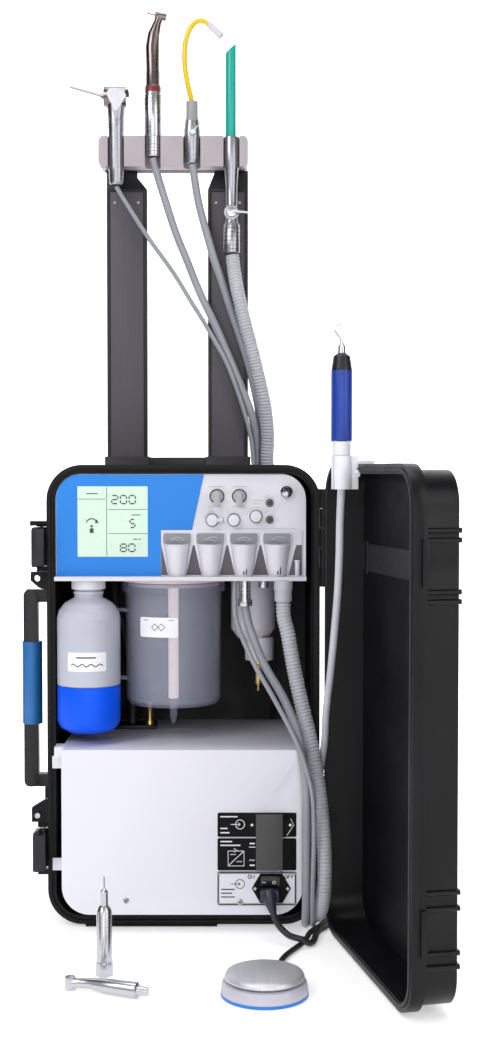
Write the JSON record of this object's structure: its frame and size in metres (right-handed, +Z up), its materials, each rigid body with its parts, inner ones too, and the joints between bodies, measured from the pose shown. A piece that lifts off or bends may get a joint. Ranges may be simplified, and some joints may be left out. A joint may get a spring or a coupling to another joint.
{
  "type": "portable dental unit",
  "caption": "Portable dental unit in an upright hard case: hinged door, telescopic instrument mast, control head, water bottle, waste jar, compressor cover, foot pedal and hoses",
  "frame": {"origin": "on the floor under the parting plane, centred on the case's width", "axes": "X right, Y away from the viewer, Z up"},
  "size_m": [0.4931, 0.5209, 1.0725],
  "materials": {
    "case_black": "grained",
    "rubber_black": "matt",
    "steel_pin": "satin",
    "guide_black": "matt",
    "cover_white": "satin powder coat",
    "panel_white": "satin",
    "overlay_blue": "satin",
    "clear_grey": "frosted",
    "lid_grey": "satin",
    "brass": "polished",
    "grey_metal": "painted",
    "plug_black": "moulded",
    "hose_grey": "satin",
    "cable_white": "satin",
    "chrome": "polished",
    "pedal_steel": "brushed",
    "pedal_blue": "satin",
    "bar_grey": "satin",
    "tip_yellow": "clear",
    "tip_green": "gloss",
    "scaler_blue": "satin",
    "holder_white": "satin",
    "boot_blue": "matt",
    "bottle_clear": "frosted",
    "handle_blue": "satin",
    "post_grey": "anodised"
  },
  "bodies": {
    "case": {"case_shell": "case_black", "pivot_pins": "steel_pin", "mast_guides": "guide_black", "control_head": "panel_white", "display_panel": "overlay_blue", "instrument_holders": "panel_white", "vessel_lids": "lid_grey", "separator": "clear_grey", "air_fittings": "brass", "equipment_cover": "cover_white", "compressor": "grey_metal", "power_supply": "grey_metal", "input_plates": "plug_black", "mains_plug": "plug_black", "mains_cord": "rubber_black", "mains_coil": "rubber_black", "wall_plug": "plug_black", "pedal_base": "pedal_blue", "pedal_cord": "rubber_black", "pedal_coil": "rubber_black", "syringe_hose": "hose_grey", "motor_hose": "hose_grey", "saliva_hose": "hose_grey", "suction_hose": "hose_grey", "scaler_cable": "cable_white", "hose_connectors": "chrome", "spare_handpieces": "chrome"},
    "mast": {"mast_posts": "post_grey", "instrument_bar": "bar_grey", "syringe_body": "chrome", "motor_handpiece": "chrome", "saliva_valve": "chrome", "saliva_tip": "tip_yellow", "suction_valve": "chrome", "suction_tip": "tip_green"},
    "door": {"door_shell": "case_black", "door_seal": "rubber_black", "scaler_holder": "holder_white", "scaler_handpiece": "scaler_blue"},
    "bottle": {"water_bottle": "bottle_clear", "bottle_boot": "boot_blue"},
    "air_lever_body": {"air_lever": "lid_grey"},
    "water_lever_body": {"water_lever": "lid_grey"},
    "drive_dial_body": {"drive_dial": "lid_grey"},
    "coolant_dial_body": {"coolant_dial": "lid_grey"},
    "pressure_dial_body": {"pressure_dial": "lid_grey"},
    "upper_needle_body": {"upper_needle": "plug_black"},
    "lower_needle_body": {"lower_needle": "plug_black"},
    "power_rocker_body": {"power_rocker": "plug_black"},
    "upper_latch_body": {"upper_latch": "case_black"},
    "lower_latch_body": {"lower_latch": "case_black"},
    "side_handle_body": {"side_handle": "handle_blue"},
    "left_wheel_body": {"left_wheel": "rubber_black"},
    "right_wheel_body": {"right_wheel": "rubber_black"},
    "pedal_disc_body": {"pedal_disc": "pedal_steel"},
    "air_button_body": {"air_button": "plug_black"},
    "water_button_body": {"water_button": "plug_black"},
    "saliva_lever_body": {"saliva_lever": "chrome"},
    "suction_lever_body": {"suction_lever": "chrome"},
    "waste_jar_body": {"waste_jar": "clear_grey"}
  },
  "joints": [
    {"name": "door_hinge", "type": "hinge", "parent": "case", "child": "door", "pos_m": [0.1575, 0, 0], "axis": [0, 0, 1], "range_deg": [-15, 0], "deforming": ["scaler_cable"]},
    {"name": "mast_slide", "type": "slide", "parent": "case", "child": "mast", "axis": [0, 0, 1], "range_m": [-0.25, 0], "deforming": ["suction_hose", "motor_hose", "saliva_hose", "syringe_hose"]},
    {"name": "air_lever_turn", "type": "hinge", "parent": "case", "child": "air_lever_body", "pos_m": [0.0379, 0.002, 0.4865], "axis": [0, -1, 0], "range_deg": [-90, 90]},
    {"name": "water_lever_turn", "type": "hinge", "parent": "case", "child": "water_lever_body", "pos_m": [0.063, 0.002, 0.4865], "axis": [0, -1, 0], "range_deg": [-90, 90]},
    {"name": "drive_dial_turn", "type": "hinge", "parent": "case", "child": "drive_dial_body", "pos_m": [0.0325, 0.002, 0.46], "axis": [0, -1, 0], "range_deg": [0, 270]},
    {"name": "coolant_dial_turn", "type": "hinge", "parent": "case", "child": "coolant_dial_body", "pos_m": [0.0568, 0.002, 0.46], "axis": [0, -1, 0], "range_deg": [-135, 135]},
    {"name": "pressure_dial_turn", "type": "hinge", "parent": "case", "child": "pressure_dial_body", "pos_m": [0.0817, 0.002, 0.464], "axis": [0, -1, 0], "range_deg": [-135, 135]},
    {"name": "upper_needle_turn", "type": "hinge", "parent": "case", "child": "upper_needle_body", "pos_m": [0.097, 0.002, 0.4792], "axis": [0, -1, 0], "range_deg": [0, 350]},
    {"name": "lower_needle_turn", "type": "hinge", "parent": "case", "child": "lower_needle_body", "pos_m": [0.097, 0.002, 0.4603], "axis": [0, -1, 0], "range_deg": [0, 350]},
    {"name": "power_rocker_tilt", "type": "hinge", "parent": "case", "child": "power_rocker_body", "pos_m": [0.097, -0.039, 0.0635], "axis": [1, 0, 0], "range_deg": [-11, 0]},
    {"name": "upper_latch_turn", "type": "hinge", "parent": "case", "child": "upper_latch_body", "pos_m": [-0.1605, 0.011, 0.43], "axis": [0, 0, 1], "range_deg": [-110, 0]},
    {"name": "lower_latch_turn", "type": "hinge", "parent": "case", "child": "lower_latch_body", "pos_m": [-0.1605, 0.011, 0.087], "axis": [0, 0, 1], "range_deg": [-110, 0]},
    {"name": "side_handle_fold", "type": "hinge", "parent": "case", "child": "side_handle_body", "pos_m": [-0.1565, 0.06, 0.262], "axis": [0, 0, 1], "range_deg": [-75, 75]},
    {"name": "left_wheel_spin", "type": "hinge", "parent": "case", "child": "left_wheel_body", "pos_m": [-0.115, 0.15, 0.024], "axis": [1, 0, 0], "continuous": true},
    {"name": "right_wheel_spin", "type": "hinge", "parent": "case", "child": "right_wheel_body", "pos_m": [0.115, 0.15, 0.024], "axis": [1, 0, 0], "continuous": true},
    {"name": "pedal_press", "type": "slide", "parent": "case", "child": "pedal_disc_body", "axis": [0, 0, -1], "range_m": [0, 0.0015], "stiffness_N_per_m": 8000},
    {"name": "air_button_press", "type": "slide", "parent": "mast", "child": "air_button_body", "axis": [-1, 0, 0], "range_m": [0, 0.0015], "stiffness_N_per_m": 2000},
    {"name": "water_button_press", "type": "slide", "parent": "mast", "child": "water_button_body", "axis": [-1, 0, 0], "range_m": [0, 0.0015], "stiffness_N_per_m": 2000},
    {"name": "saliva_lever_turn", "type": "hinge", "parent": "mast", "child": "saliva_lever_body", "pos_m": [0.0062, 0.15, 0.926], "axis": [0, 1, 0], "range_deg": [0, 90]},
    {"name": "suction_lever_turn", "type": "hinge", "parent": "mast", "child": "suction_lever_body", "pos_m": [0.0532, 0.15, 0.829], "axis": [0, 1, 0], "range_deg": [0, 90]},
    {"name": "bottle_unscrew", "type": "hinge", "parent": "case", "child": "bottle", "pos_m": [-0.1075, 0.01, 0.3], "axis": [0, 0, 1], "continuous": true},
    {"name": "jar_turn", "type": "hinge", "parent": "case", "child": "waste_jar_body", "pos_m": [-0.0137, 0.055, 0.32], "axis": [0, 0, 1], "range_deg": [-20, 0]}
  ]
}
